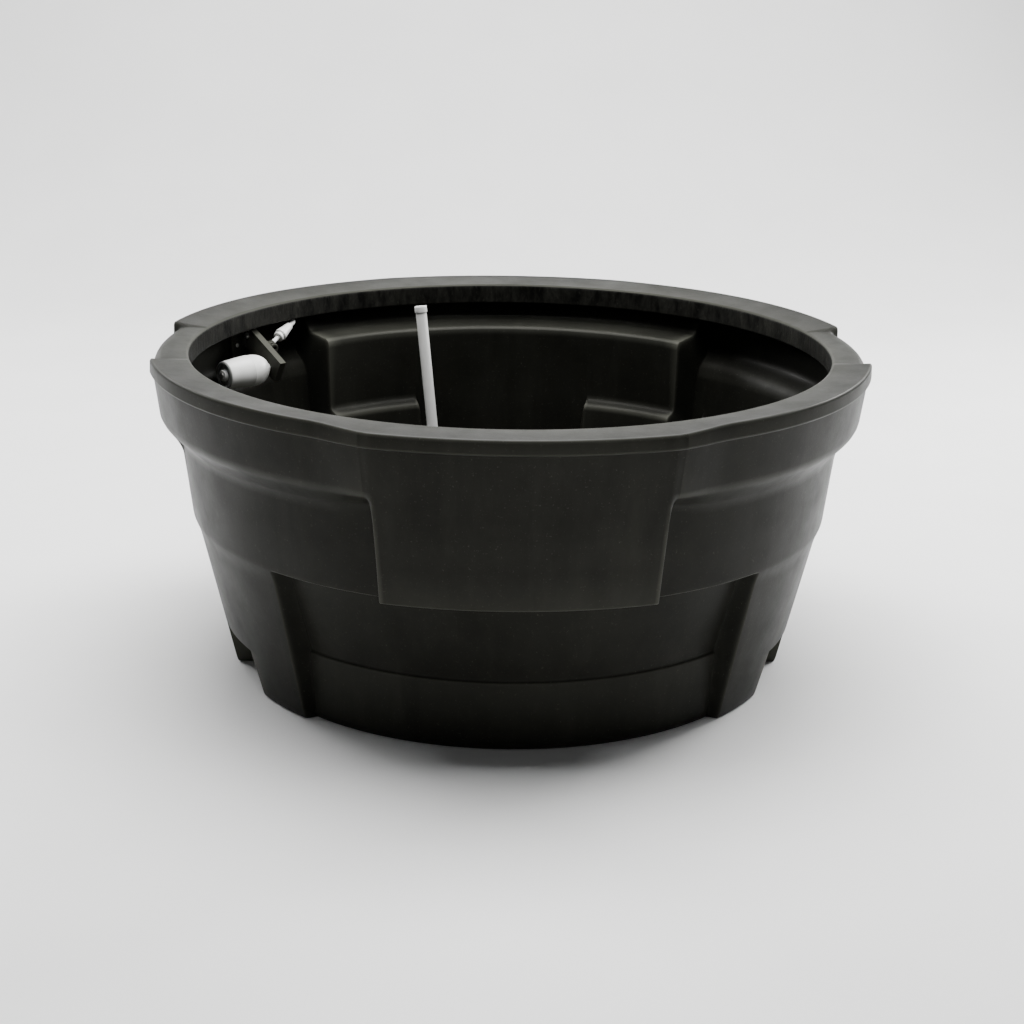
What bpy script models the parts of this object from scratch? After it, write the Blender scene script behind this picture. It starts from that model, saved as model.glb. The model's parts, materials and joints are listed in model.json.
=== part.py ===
"""Round cattle trough with an inlet float valve, an overflow standpipe and a floor drain.

Metres, +Z up. The origin is the centre of the footprint, on the ground. +Y points to the back.
The tub is one moulding: a polar loft whose section changes with the azimuth.
"""

import math

import bmesh
import bpy
from mathutils import Matrix, Vector

# ---- driving dimensions: tub -------------------------------------------------------------
HEIGHT = 0.600            # ground to the inner edge of the rim
RIM_RADIUS = 0.600        # clear opening
SKIN = 0.007              # moulded wall
FLOOR_TOP = 0.100
FLOOR_UNDER = FLOOR_TOP - SKIN
LIP_DROP = 0.040          # height of the rim's inner face
SIDE_STEP = 0.35          # half-width in degrees of a step between two neighbouring zones

# azimuths in degrees from the front-back axis; every quadrant repeats them mirrored
APRON_EDGE = 21.4
BLOCK_EDGE = 19.4
FACET_END = 29.0
PANEL_EDGE = 41.3         # inner panel, at its face
RECESS_EDGE = 44.0
BLOCK_SIDE = 45.6         # outer side of the lower inner blocks, wider than the recess behind
SIDE_EDGE = 77.0

# heights above the ground
RIM_EDGE_RISE = 0.007     # the sectors' outer edge stands above the inner edge
APRON_EDGE_RISE = 0.004
LIP_LOW = 0.581
BAND_LOW = 0.491
RECESS_TOP = 0.298
BASE_BAND_TOP = 0.129
LEDGE_TOP = 0.524         # top of the inner panel
BLOCK_TOP = 0.366         # top of the lower inner blocks
PLINTH_TOP = 0.322        # same step beyond the panel, over the recess's side
HIDDEN_LEDGE = 0.270      # same step between the two blocks

# radii
APRON_RIM = 0.690
SECTOR_RIM = 0.677
SIDE_RIM = 0.665
APRON_FACE_LOW = 0.640
WALL_PROFILE = ((0.000, 0.529), (0.276, 0.592), (0.300, 0.602), (0.336, 0.6075), (0.452, 0.618))

# fork channels through the base, along X
CHANNEL_INNER = 0.105
CHANNEL_OUTER = 0.275
CHANNEL_HEIGHT = 0.090
CHANNEL_WALL = 0.006

GAP = 0.0003              # air between neighbouring pieces
RUNNING_FIT = 0.00006     # radial air between a shaft and the bore it moves in

# ---- driving dimensions: drain and standpipe ------------------------------------------------
DRAIN = Vector((-0.128, 0.4255, FLOOR_TOP))
PIPE_TOP = Vector((-0.176, 0.466, 0.578))
PIPE_RADIUS = 0.0115
PIPE_BORE = 0.0097
DRAIN_BODY_RADIUS = 0.0235
DRAIN_BORE = 0.0185
OUTLET_BORE = 0.0100
OUTLET_RADIUS = 0.0125
OUTLET_Z = 0.038          # height of the outlet pipe's axis
OUTLET_BEND = 0.020
OUTLET_REACH = 0.084

# ---- driving dimensions: float valve ---------------------------------------------------------
PIVOT = Vector((-0.5255, 0.343, 0.540))
LEVER_HEADING = Vector((0.66, -0.7513, 0.0)).normalized()
LEVER_DROP = math.radians(28.0)   # the empty trough lets the lever hang this far down
LEVER_START = 0.004
LEVER_LENGTH = 0.118
LEVER_HEIGHT = 0.048
LEVER_RISE = 0.0185        # top of the lever above the pivot, clear of the rim when raised
LEVER_WIDTH = 0.014
LEVER_SKIN = 0.003
PIN_RADIUS = 0.004
LUG_REACH = 0.016         # pivot to the lug that pushes the plunger
LUG_RADIUS = 0.003
LUG_ANGLE = math.radians(-76.0)
FLOAT_ALONG = 0.087       # float axle, along and below the lever's centreline
FLOAT_BELOW = 0.016
FLOAT_LENGTH = 0.108
FLOAT_NECK = 0.006        # between the lever and the barrel
FLOAT_RADIUS = 0.0325
AXLE_RADIUS = 0.004
BODY_OFFSET = 0.020       # plunger axis, sideways and down from the pivot
BODY_DROP = 0.021
BODY_RADIUS = 0.011
BODY_START = 0.013
BODY_END = 0.052
CHAMBER = 0.0075
INLET_PORT = 0.036        # where the inlet's axis meets the plunger axis
INLET_FAR = Vector((-0.437, 0.4295, 0.556))
BRACKET_BACK = 0.6462
BRACKET_Z = 0.522
HOSE_PORT_AZIMUTH = 46.2
HOSE_PORT_Z = 0.566
HOSE_PORT_RADIUS = 0.009
HOSE_RADIUS = 0.0052


# ---- scene, materials and mesh helpers ------------------------------------------------------
def clear_scene():
    for item in list(bpy.data.objects):
        bpy.data.objects.remove(item, do_unlink=True)


def make_collection(name):
    group = bpy.data.collections.new(name)
    bpy.context.scene.collection.children.link(group)
    return group


def material(name, colour, roughness, metallic=0.0):
    made = bpy.data.materials.new(name)
    made.use_nodes = True
    shader = made.node_tree.nodes["Principled BSDF"]
    shader.inputs["Base Color"].default_value = (*colour, 1.0)
    shader.inputs["Roughness"].default_value = roughness
    shader.inputs["Metallic"].default_value = metallic
    return made


def link_mesh(name, mesh, group, finish, placement=None):
    item = bpy.data.objects.new(name, mesh)
    group.objects.link(item)
    if finish is not None:
        mesh.materials.append(finish)
    if placement is not None:
        item.matrix_world = placement
    return item


def mesh_from_bmesh(name, shape):
    mesh = bpy.data.meshes.new(name)
    shape.to_mesh(mesh)
    shape.free()
    return mesh


def shade(item, degrees=35.0):
    item.data.shade_smooth()
    item.data.set_sharp_from_angle(angle=math.radians(degrees))
    return item


def box_mesh(name, size, centre=(0.0, 0.0, 0.0)):
    shape = bmesh.new()
    bmesh.ops.create_cube(shape, size=1.0)
    bmesh.ops.scale(shape, vec=Vector(size), verts=shape.verts)
    bmesh.ops.translate(shape, vec=Vector(centre), verts=shape.verts)
    return mesh_from_bmesh(name, shape)


def cylinder_mesh(name, radius, low, high, sides=24, top_radius=None):
    shape = bmesh.new()
    bmesh.ops.create_cone(shape, cap_ends=True, segments=sides, radius1=radius,
                          radius2=radius if top_radius is None else top_radius, depth=high - low)
    bmesh.ops.translate(shape, vec=(0.0, 0.0, (high + low) / 2.0), verts=shape.verts)
    return mesh_from_bmesh(name, shape)


def frame_at(point, z_axis, x_hint):
    """Placement whose Z follows z_axis and whose X lies closest to x_hint."""
    z_dir = Vector(z_axis).normalized()
    y_dir = z_dir.cross(Vector(x_hint)).normalized()
    x_dir = y_dir.cross(z_dir)
    turn = Matrix((x_dir, y_dir, z_dir)).transposed().to_4x4()
    return Matrix.Translation(Vector(point)) @ turn


def boolean(item, cutter, operation):
    step = item.modifiers.new(cutter.name, "BOOLEAN")
    step.operation = operation
    step.solver = "EXACT"
    step.object = cutter


def hide_cutter(item):
    item.hide_render = True
    item.display_type = "WIRE"
    return item


def turned(name, profile, group, finish, placement, steps=24):
    """Closed ring or solid turned about local Z from (radius, z) points, outer side downwards."""
    mesh = bpy.data.meshes.new(name)
    points = [(radius, 0.0, height) for radius, height in profile]
    on_axis = profile[0][0] == 0.0
    edges = [(i, i + 1) for i in range(len(points) - 1)]
    if not on_axis:
        edges.append((len(points) - 1, 0))
    mesh.from_pydata(points, edges, [])
    item = link_mesh(name, mesh, group, finish, placement)
    screw = item.modifiers.new("Turn", "SCREW")
    screw.steps = steps
    screw.render_steps = steps
    screw.use_merge_vertices = True
    screw.merge_threshold = 0.00001
    screw.use_smooth_shade = True
    return item


def hexagon_ring(name, across, hole, low, high, group, finish, placement):
    """Nut: a hexagonal prism with a round hole."""
    item = link_mesh(name, cylinder_mesh(name, across / math.sqrt(3.0), low, high, 6),
                     group, finish, placement)
    hole_mesh = cylinder_mesh(name + "_hole", hole, low - 0.01, high + 0.01, 24)
    cutter = hide_cutter(link_mesh(name + "_hole", hole_mesh, CUTTERS, None, placement))
    boolean(item, cutter, "DIFFERENCE")
    return item


# ---- tub section ---------------------------------------------------------------------------
def blend(start, end, share):
    return start + (end - start) * share


def wall_radius(height):
    """Outer radius of the plain wall, from the ground to the underside of the band."""
    for (z_low, r_low), (z_high, r_high) in zip(WALL_PROFILE, WALL_PROFILE[1:]):
        if height <= z_high:
            return blend(r_low, r_high, (height - z_low) / (z_high - z_low))
    return WALL_PROFILE[-1][1]


def rim_zone(azimuth):
    """Rim edge radius, rim edge height, and how far the corner facet has turned to the apron."""
    if azimuth < APRON_EDGE:
        bow = 0.005 * (azimuth / APRON_EDGE) ** 2
        return APRON_RIM + bow, HEIGHT + APRON_EDGE_RISE, 1.0
    if azimuth < FACET_END:
        share = (azimuth - APRON_EDGE) / (FACET_END - APRON_EDGE)
        return (blend(APRON_RIM + 0.005, SECTOR_RIM, share),
                HEIGHT + blend(APRON_EDGE_RISE, RIM_EDGE_RISE, share), 1.0 - share)
    if azimuth < SIDE_EDGE:
        share = max(0.0, (azimuth - 50.0) / (SIDE_EDGE - 50.0))
        return SECTOR_RIM - 0.004 * share, HEIGHT + RIM_EDGE_RISE, 0.0
    return SIDE_RIM, HEIGHT, 0.0


def rim_section(azimuth):
    """Rim top and lip, from the inner edge outwards and down."""
    edge, top, _ = rim_zone(azimuth)
    if azimuth > SIDE_EDGE:
        return [(RIM_RADIUS + 0.005, HEIGHT), (edge - 0.022, HEIGHT + 0.001),
                (edge - 0.007, HEIGHT - 0.006), (edge, HEIGHT - 0.020),
                (edge - 0.001, LIP_LOW - 0.012), (edge - 0.003, LIP_LOW - 0.016)]
    return [(RIM_RADIUS + 0.005, HEIGHT), (edge - 0.010, top - 0.001), (edge - 0.002, top),
            (edge, top - 0.004), (edge + 0.001, LIP_LOW), (edge - 0.005, LIP_LOW - 0.003)]


def skirt_section(azimuth):
    """Outer face from below the lip to the underside of the base."""
    edge, _, facet = rim_zone(azimuth)
    if azimuth < APRON_EDGE:
        bow = edge - APRON_RIM
        face = [(blend(APRON_FACE_LOW, APRON_RIM - 0.005, (z - 0.303) / (LIP_LOW - 0.306)) + bow, z)
                for z in (BAND_LOW, 0.462, 0.380, 0.306)]
        face.append((APRON_FACE_LOW - 0.003 + bow, 0.303))
    else:
        if azimuth > SIDE_EDGE:
            under = 0.432
        else:
            under = blend(0.452, 0.470, facet)
        band = blend(0.657, 0.674, facet)
        face = [(band, BAND_LOW), (0.618, under), (wall_radius(0.380), 0.380),
                (wall_radius(0.303), 0.303), (wall_radius(RECESS_TOP), RECESS_TOP)]
    if azimuth < RECESS_EDGE:
        lower = [(0.568, RECESS_TOP - 0.003), (0.519, BASE_BAND_TOP + 0.003),
                 (0.523, BASE_BAND_TOP - 0.002), (0.513, 0.004), (0.509, 0.0)]
    else:
        lower = [(wall_radius(z), z) for z in (RECESS_TOP - 0.022, BASE_BAND_TOP, 0.090, 0.004)]
        lower.append((wall_radius(0.0) - 0.004, 0.0))
    inside = lower[-1][0] - SKIN
    return face + lower + [(inside, 0.0), (inside + 0.008, FLOOR_UNDER)]


def inner_step(azimuth):
    """Height of the step in the inner wall over the recess."""
    if azimuth < BLOCK_EDGE:
        return HIDDEN_LEDGE
    return BLOCK_TOP if azimuth < PANEL_EDGE else PLINTH_TOP


def inner_section(azimuth):
    """Inner face, from the floor's edge up to the inner edge of the rim."""
    foot = wall_radius(FLOOR_TOP) - SKIN
    if azimuth < BLOCK_SIDE:
        step = inner_step(azimuth)
        face = [(0.484, FLOOR_TOP), (0.500, FLOOR_TOP + 0.014), (0.521, step - 0.010)]
    else:
        face = [(foot - 0.018, FLOOR_TOP), (foot, FLOOR_TOP + 0.014),
                (wall_radius(0.340) - SKIN, 0.340)]
    if azimuth < PANEL_EDGE:
        face += [(0.546, step), (0.551, LEDGE_TOP - 0.018), (0.557, LEDGE_TOP - 0.008),
                 (0.611, LEDGE_TOP - 0.001), (0.619, LEDGE_TOP + 0.007), (0.630, 0.552)]
    else:
        low = PLINTH_TOP + 0.006 if azimuth < BLOCK_SIDE else BLOCK_TOP
        face += [(wall_radius(z) - SKIN, z) for z in (low, 0.440)]
        face += [(0.621, 0.461), (0.641, 0.476), (0.649, 0.488), (0.652, 0.552)]
    return face + [(0.652, HEIGHT - 0.016), (RIM_RADIUS + 0.009, HEIGHT - 0.012),
                   (RIM_RADIUS + 0.008, HEIGHT - LIP_DROP), (RIM_RADIUS, HEIGHT - LIP_DROP),
                   (RIM_RADIUS, HEIGHT - 0.005)]


def section(azimuth):
    return inner_section(azimuth) + rim_section(azimuth) + skirt_section(azimuth)


def quadrant_azimuths():
    """Azimuths from 0 to 90 degrees, doubled where the section steps."""
    steps = (APRON_EDGE, BLOCK_EDGE, RECESS_EDGE, BLOCK_SIDE, SIDE_EDGE)
    plain = [0.0, 7.0, 14.0, FACET_END, 35.0, PANEL_EDGE - 0.01, PANEL_EDGE + 2.2,
             51.0, 58.0, 64.0, 70.0, 83.0, 90.0]
    for step in steps:
        plain += [step - SIDE_STEP, step + SIDE_STEP]
    return sorted(plain)


def full_turn():
    """(angle in degrees from +X, azimuth from the front-back axis) pairs, counter-clockwise."""
    quarter = quadrant_azimuths()
    turn = []
    for start, mirrored in ((0.0, True), (90.0, False), (180.0, True), (270.0, False)):
        ordered = reversed(quarter) if mirrored else quarter
        for azimuth in ordered:
            angle = start + (90.0 - azimuth if mirrored else azimuth)
            if not turn or angle - turn[-1][0] > 0.001:
                turn.append((angle, azimuth))
    return turn[:-1]


def polar(radius, degrees, height):
    angle = math.radians(degrees)
    return (radius * math.cos(angle), radius * math.sin(angle), height)


def loft_shell(name):
    """Closed skin through one section per azimuth, with the floor's two centres as poles."""
    shape = bmesh.new()
    rings = []
    for angle, azimuth in full_turn():
        rings.append([shape.verts.new(polar(r, angle, z)) for r, z in section(azimuth)])
    top_pole = shape.verts.new((0.0, 0.0, FLOOR_TOP))
    low_pole = shape.verts.new((0.0, 0.0, FLOOR_UNDER))
    for here, after in zip(rings, rings[1:] + rings[:1]):
        shape.faces.new((top_pole, here[0], after[0]))
        for i in range(len(here) - 1):
            shape.faces.new((here[i], here[i + 1], after[i + 1], after[i]))
        shape.faces.new((low_pole, after[-1], here[-1]))
    bmesh.ops.triangulate(shape, faces=shape.faces)
    bmesh.ops.recalc_face_normals(shape, faces=shape.faces)
    return mesh_from_bmesh(name, shape)


def wedge(name, half_angle, middle, stations, slices):
    """Polar wedge cutter about Z; stations are (inner point, outer point) pairs going up."""
    shape = bmesh.new()
    rings = []
    for i in range(slices + 1):
        angle = middle + half_angle * (2.0 * i / slices - 1.0)
        rings.append([[shape.verts.new(polar(r, angle, z)) for r, z in pair]
                      for pair in stations])
    for here, after in zip(rings, rings[1:]):
        for low, high, low_after, high_after in zip(here, here[1:], after, after[1:]):
            shape.faces.new((low[0], high[0], high_after[0], low_after[0]))
            shape.faces.new((low[1], low_after[1], high_after[1], high[1]))
        shape.faces.new((here[0][0], after[0][0], after[0][1], here[0][1]))
        shape.faces.new((here[-1][0], here[-1][1], after[-1][1], after[-1][0]))
    for end in (rings[0], rings[-1]):
        for low, high in zip(end, end[1:]):
            shape.faces.new((low[0], low[1], high[1], high[0]))
    bmesh.ops.triangulate(shape, faces=shape.faces)
    bmesh.ops.recalc_face_normals(shape, faces=shape.faces)
    return hide_cutter(link_mesh(name, mesh_from_bmesh(name, shape), CUTTERS, None))


def hollow_double_walls(tub):
    """Empty the double wall behind each apron, and vent it through the recess's ceiling."""
    behind = (((0.513, 0.160), (0.521, 0.160)), ((0.5275, 0.245), (0.5465, 0.245)),
              ((0.5515, 0.262), (0.553, 0.262)), ((0.5555, 0.285), (0.5585, 0.285)),
              ((0.555, 0.312), (0.560, 0.311)), ((0.560, 0.319), (0.593, 0.314)),
              ((0.561, 0.345), (0.600, 0.345)),
              ((0.5615, 0.440), (0.608, 0.440)), ((0.562, 0.498), (0.610, 0.472)),
              ((0.575, 0.507), (0.638, 0.502)), ((0.627, 0.515), (0.643, 0.525)),
              ((0.638, 0.540), (0.645, 0.540)))
    apron = (((0.572, 0.3155), (0.629, 0.3155)), ((0.590, 0.490), (0.659, 0.490)),
             ((0.636, 0.528), (0.667, 0.528)), ((0.652, 0.566), (0.675, 0.566)))
    for side, middle in (("front", 270.0), ("back", 90.0)):
        boolean(tub, wedge(side + "_void", 40.3, middle, behind, 14), "DIFFERENCE")
        boolean(tub, wedge(side + "_apron_void", 20.5, middle, apron, 8), "DIFFERENCE")
        vent_mesh = cylinder_mesh(side + "_vent", 0.006, 0.285, 0.330, 12)
        vent_place = Matrix.Translation(Vector(polar(0.580, middle + 32.0, 0.0)))
        vent = hide_cutter(link_mesh(side + "_vent", vent_mesh, CUTTERS, None, vent_place))
        boolean(tub, vent, "DIFFERENCE")


def fork_channels(tub):
    """Two channels along X through the base skirt, lined by straight walls under the floor."""
    reach = cylinder_mesh("channel_reach", wall_radius(0.0) - SKIN / 2.0, 0.0002,
                          FLOOR_UNDER + 0.002, 96, wall_radius(FLOOR_UNDER) - SKIN / 2.0)
    reach_object = hide_cutter(link_mesh("channel_reach", reach, CUTTERS, None))
    for sign in (-1.0, 1.0):
        for label, y_low in (("inner", CHANNEL_INNER - CHANNEL_WALL), ("outer", CHANNEL_OUTER)):
            name = "channel_wall_{}_{}".format(label, "front" if sign < 0 else "back")
            size = (1.3, CHANNEL_WALL, 0.14)
            centre = (0.0, sign * (y_low + CHANNEL_WALL / 2.0), 0.05)
            lining = hide_cutter(link_mesh(name, box_mesh(name, size, centre), CUTTERS, None))
            boolean(lining, reach_object, "INTERSECT")
            boolean(tub, lining, "UNION")
    for sign in (-1.0, 1.0):
        name = "channel_{}".format("front" if sign < 0 else "back")
        size = (1.4, CHANNEL_OUTER - CHANNEL_INNER, CHANNEL_HEIGHT + 0.02)
        centre = (0.0, sign * (CHANNEL_OUTER + CHANNEL_INNER) / 2.0, CHANNEL_HEIGHT / 2.0 - 0.01)
        channel = hide_cutter(link_mesh(name, box_mesh(name, size, centre), CUTTERS, None))
        boolean(tub, channel, "DIFFERENCE")


def drill(tub, name, radius, low, high, placement, sides=24):
    bit = cylinder_mesh(name, radius, low, high, sides)
    boolean(tub, hide_cutter(link_mesh(name, bit, CUTTERS, None, placement)), "DIFFERENCE")


def build_tub():
    tub = link_mesh("tub_shell", loft_shell("tub_shell"), PARTS, BLACK_PLASTIC)
    hollow_double_walls(tub)
    fork_channels(tub)
    drill(tub, "drain_hole", DRAIN_BODY_RADIUS + GAP, -0.03, 0.03, drain_frame())
    drill(tub, "outlet_hole", 0.0160, 0.020, 0.120, outlet_frame())
    drill(tub, "hose_hole", HOSE_PORT_RADIUS + GAP, -0.020, 0.040, hose_frame())
    for i, place in enumerate(bracket_screw_frames()):
        drill(tub, "bracket_hole_{}".format(i), 0.0025 + GAP, -0.020, 0.030, place, 12)
    return shade(tub, 30.0)


# ---- placements shared by the tub's holes and the fittings ---------------------------------
def outward(point):
    return Vector((point.x, point.y, 0.0)).normalized()


def drain_frame():
    return Matrix.Translation(DRAIN)


def pipe_frame():
    """Origin in the drain's mouth, Z up the leaning standpipe."""
    return frame_at(DRAIN, PIPE_TOP - DRAIN, (1.0, 0.0, 0.0))


def outlet_frame():
    """Z runs from the drain's axis outwards through the base band, X up."""
    start = Vector((DRAIN.x, DRAIN.y, OUTLET_Z))
    return frame_at(start, outward(DRAIN), (0.0, 0.0, 1.0))


def hose_frame():
    """Z points outwards through the rim, from the rim channel's outer wall."""
    centre = Vector(polar(0.652, 90.0 + HOSE_PORT_AZIMUTH, HOSE_PORT_Z))
    return frame_at(centre, outward(centre), (0.0, 0.0, 1.0))


def bracket_frame():
    """On the inner wall behind the pivot: Z points out through the wall, X up."""
    centre = outward(PIVOT) * BRACKET_BACK
    centre.z = BRACKET_Z
    return frame_at(centre, outward(PIVOT), (0.0, 0.0, 1.0))


def bracket_screw_frames():
    return [bracket_frame() @ Matrix.Translation((0.0, side * 0.026, 0.0)) for side in (-1, 1)]


def valve_frame():
    """Origin on the pivot, X level along the lever, Y back along the pivot pin, Z up."""
    return frame_at(PIVOT, (0.0, 0.0, 1.0), LEVER_HEADING)


def lever_frame():
    """The valve frame turned down about the pivot pin by the lever's hanging angle."""
    return valve_frame() @ Matrix.Rotation(LEVER_DROP, 4, "Y")


def along_pin(frame, x, reach, z):
    """Placement whose Z runs along the pin to the front, from the given reach along it."""
    turn = Matrix.Rotation(math.radians(90.0), 4, "X")
    return frame @ Matrix.Translation((x, -reach, z)) @ turn


def plunger_frame():
    """Z along the plunger, away from the wall; origin level with the pivot."""
    turn = Matrix.Rotation(math.radians(90.0), 4, "Y")
    return valve_frame() @ Matrix.Translation((0.0, BODY_OFFSET, -BODY_DROP)) @ turn


def inlet_frame():
    """Z from the plunger axis up the white inlet fitting to the rim."""
    start = valve_frame() @ Vector((INLET_PORT, BODY_OFFSET, -BODY_DROP))
    return frame_at(start, INLET_FAR - start, (1.0, 0.0, 0.0))


# ---- drain and standpipe ----------------------------------------------------------------------
def bent_tube(name, points, radius, bore, group, finish):
    """Open tube along a polyline: an outer round bar with a longer, thinner bar cut out."""
    bars = []
    ends = (points[0] + (points[0] - points[1]).normalized() * 0.01,
            points[-1] + (points[-1] - points[-2]).normalized() * 0.01)
    for label, size, path in (("", radius, points), ("_bore", bore, [ends[0], *points, ends[1]])):
        curve = bpy.data.curves.new(name + label, "CURVE")
        curve.dimensions = "3D"
        curve.bevel_depth = size
        curve.bevel_resolution = 3
        curve.use_fill_caps = True
        spline = curve.splines.new("POLY")
        spline.points.add(len(path) - 1)
        for point, place in zip(spline.points, path):
            point.co = (*place, 1.0)
        carrier = bpy.data.objects.new(name + label + "_curve", curve)
        group.objects.link(carrier)
        mesh = bpy.data.meshes.new_from_object(carrier)
        bpy.data.objects.remove(carrier, do_unlink=True)
        shape = bmesh.new()
        shape.from_mesh(mesh)
        bmesh.ops.remove_doubles(shape, verts=shape.verts, dist=0.00001)
        bmesh.ops.recalc_face_normals(shape, faces=shape.faces)
        shape.to_mesh(mesh)
        shape.free()
        bars.append(mesh)
    tube = link_mesh(name, bars[0], group, finish)
    cutter = hide_cutter(link_mesh(name + "_bore", bars[1], CUTTERS, None))
    boolean(tube, cutter, "DIFFERENCE")
    return tube


def build_standpipe():
    frame = pipe_frame()
    length = (PIPE_TOP - DRAIN).length
    turned("standpipe", [(PIPE_RADIUS, length - 0.004), (PIPE_RADIUS, -0.0165),
                         (PIPE_BORE, -0.0165), (PIPE_BORE, length - 0.004)],
           PARTS, WHITE_PLASTIC, frame)
    fit = PIPE_RADIUS + GAP
    turned("standpipe_collar", [(0.0126, length), (0.0132, length - 0.0012),
                                (0.0132, length - 0.0120), (0.0126, length - 0.0130),
                                (fit, length - 0.0130), (fit, length - 0.0037),
                                (PIPE_BORE, length - 0.0037), (PIPE_BORE, length)],
           PARTS, WHITE_PLASTIC, frame)
    turned("standpipe_seal", [(0.0152, 0.0040), (0.0152, -0.0180), (0.0124, -0.0180),
                              (PIPE_RADIUS + 0.00008, -0.0170), (PIPE_RADIUS + 0.00008, 0.0040)],
           PARTS, RUBBER, frame)


def build_drain():
    frame = drain_frame()
    turned("drain_body", [(0.0330, 0.0066), (0.0340, 0.0056), (0.0340, 0.0026),
                          (DRAIN_BODY_RADIUS, 0.0026), (DRAIN_BODY_RADIUS, -0.0400),
                          (0.0129, -0.0400), (0.0129, -0.0215), (DRAIN_BORE, -0.0215),
                          (DRAIN_BORE, 0.0050), (0.0200, 0.0066)],
           PARTS, BLACK_PLASTIC, frame)
    turned("drain_gasket", [(0.0335, 0.0023), (0.0335, 0.0003),
                            (DRAIN_BODY_RADIUS + GAP, 0.0003), (DRAIN_BODY_RADIUS + GAP, 0.0023)],
           PARTS, RUBBER, frame)
    hexagon_ring("drain_nut", 0.060, DRAIN_BODY_RADIUS + GAP, -0.0163, -0.0075,
                 PARTS, BLACK_PLASTIC, frame)


def build_outlet():
    out = outward(DRAIN)
    start = Vector((DRAIN.x, DRAIN.y, 0.0))
    path = [start + Vector((0.0, 0.0, 0.0775)), start + Vector((0.0, 0.0, 0.068))]
    for i in range(7):
        turn = math.radians(15.0 * i)
        path.append(start + out * OUTLET_BEND * (1.0 - math.cos(turn))
                    + Vector((0.0, 0.0, OUTLET_Z + OUTLET_BEND * (1.0 - math.sin(turn)))))
    path.append(start + out * OUTLET_REACH + Vector((0.0, 0.0, OUTLET_Z)))
    shade(bent_tube("outlet_elbow", path, OUTLET_RADIUS, OUTLET_BORE, PARTS, GREY_PLASTIC))
    frame = outlet_frame()
    turned("outlet_gasket", [(0.0157, 0.0730), (0.0157, 0.0600),
                             (OUTLET_RADIUS + GAP, 0.0600), (OUTLET_RADIUS + GAP, 0.0730)],
           PARTS, RUBBER, frame)
    turned("drain_cap", [(0.0, 0.0900), (0.0160, 0.0900), (0.0175, 0.0885), (0.0175, 0.0750),
                         (OUTLET_RADIUS + GAP, 0.0750),
                         (OUTLET_RADIUS + GAP, OUTLET_REACH + GAP),
                         (0.0, OUTLET_REACH + GAP)],
           PARTS, BLACK_PLASTIC, frame)


# ---- float valve ------------------------------------------------------------------------------
def build_bracket():
    """Wall plate with a tongue for the pivot pin and a shelf under the valve body."""
    wall = bracket_frame()
    plate = box_mesh("valve_bracket", (0.056, 0.078, 0.0050), (0.0, 0.0, -0.0025))
    bracket = link_mesh("valve_bracket", plate, PARTS, BLACK_PLASTIC, wall)
    frame = valve_frame()
    tongue_width = LEVER_WIDTH - 2.0 * LEVER_SKIN - 0.0006
    tongue = box_mesh("bracket_tongue", (0.0200, tongue_width, 0.0150), (-0.0100, 0.0, 0.0))
    pieces = [link_mesh("bracket_tongue", tongue, CUTTERS, None, frame)]
    half = tongue_width / 2.0 - 0.0003
    nose = cylinder_mesh("bracket_nose", 0.0080, -half, half, 24)
    pieces.append(link_mesh("bracket_nose", nose, CUTTERS, None, along_pin(frame, 0.0, 0.0, 0.0)))
    shelf = box_mesh("bracket_shelf", (0.0680, 0.0120, 0.0080),
                     (0.0120, BODY_OFFSET, -BODY_DROP - BODY_RADIUS - 0.0043))
    pieces.append(link_mesh("bracket_shelf", shelf, CUTTERS, None, frame))
    for piece in pieces:
        boolean(bracket, hide_cutter(piece), "UNION")
    hole = cylinder_mesh("bracket_pin_hole", PIN_RADIUS + GAP, -0.02, 0.02, 24)
    place = along_pin(frame, 0.0, 0.0, 0.0)
    boolean(bracket, hide_cutter(link_mesh("bracket_pin_hole", hole, CUTTERS, None, place)),
            "DIFFERENCE")
    for i, place in enumerate(bracket_screw_frames()):
        hole = cylinder_mesh("plate_hole", 0.0025 + GAP, -0.02, 0.02, 12)
        cutter = hide_cutter(link_mesh("plate_hole_{}".format(i), hole, CUTTERS, None, place))
        boolean(bracket, cutter, "DIFFERENCE")
    return bracket


def build_bracket_screws():
    """Two screws through the wall, heads inside and nuts outside."""
    profile = [(0.0, 0.0225), (0.0025, 0.0225), (0.0025, -0.0053), (0.0045, -0.0053),
               (0.0045, -0.0073), (0.0030, -0.0083), (0.0, -0.0083)]
    for i, place in enumerate(bracket_screw_frames()):
        turned("bracket_screw_{}".format(i), profile, PARTS, STEEL, place, 16)
        hexagon_ring("bracket_nut_{}".format(i), 0.0080, 0.0025 + GAP, 0.0182, 0.0214,
                     PARTS, STEEL, place)


def build_pivot_pin():
    """Pin through the tongue and both cheeks, pale head on the front side."""
    half = LEVER_WIDTH / 2.0
    turned("pivot_pin", [(0.0, half + 0.0043), (0.0050, half + 0.0043), (0.0065, half + 0.0028),
                         (0.0065, half + GAP), (PIN_RADIUS, half + GAP),
                         (PIN_RADIUS, -half - 0.0038), (PIN_RADIUS - 0.0008, -half - 0.0046),
                         (0.0, -half - 0.0046)],
           PARTS, STEEL, along_pin(valve_frame(), 0.0, 0.0, 0.0), 24)


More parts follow.
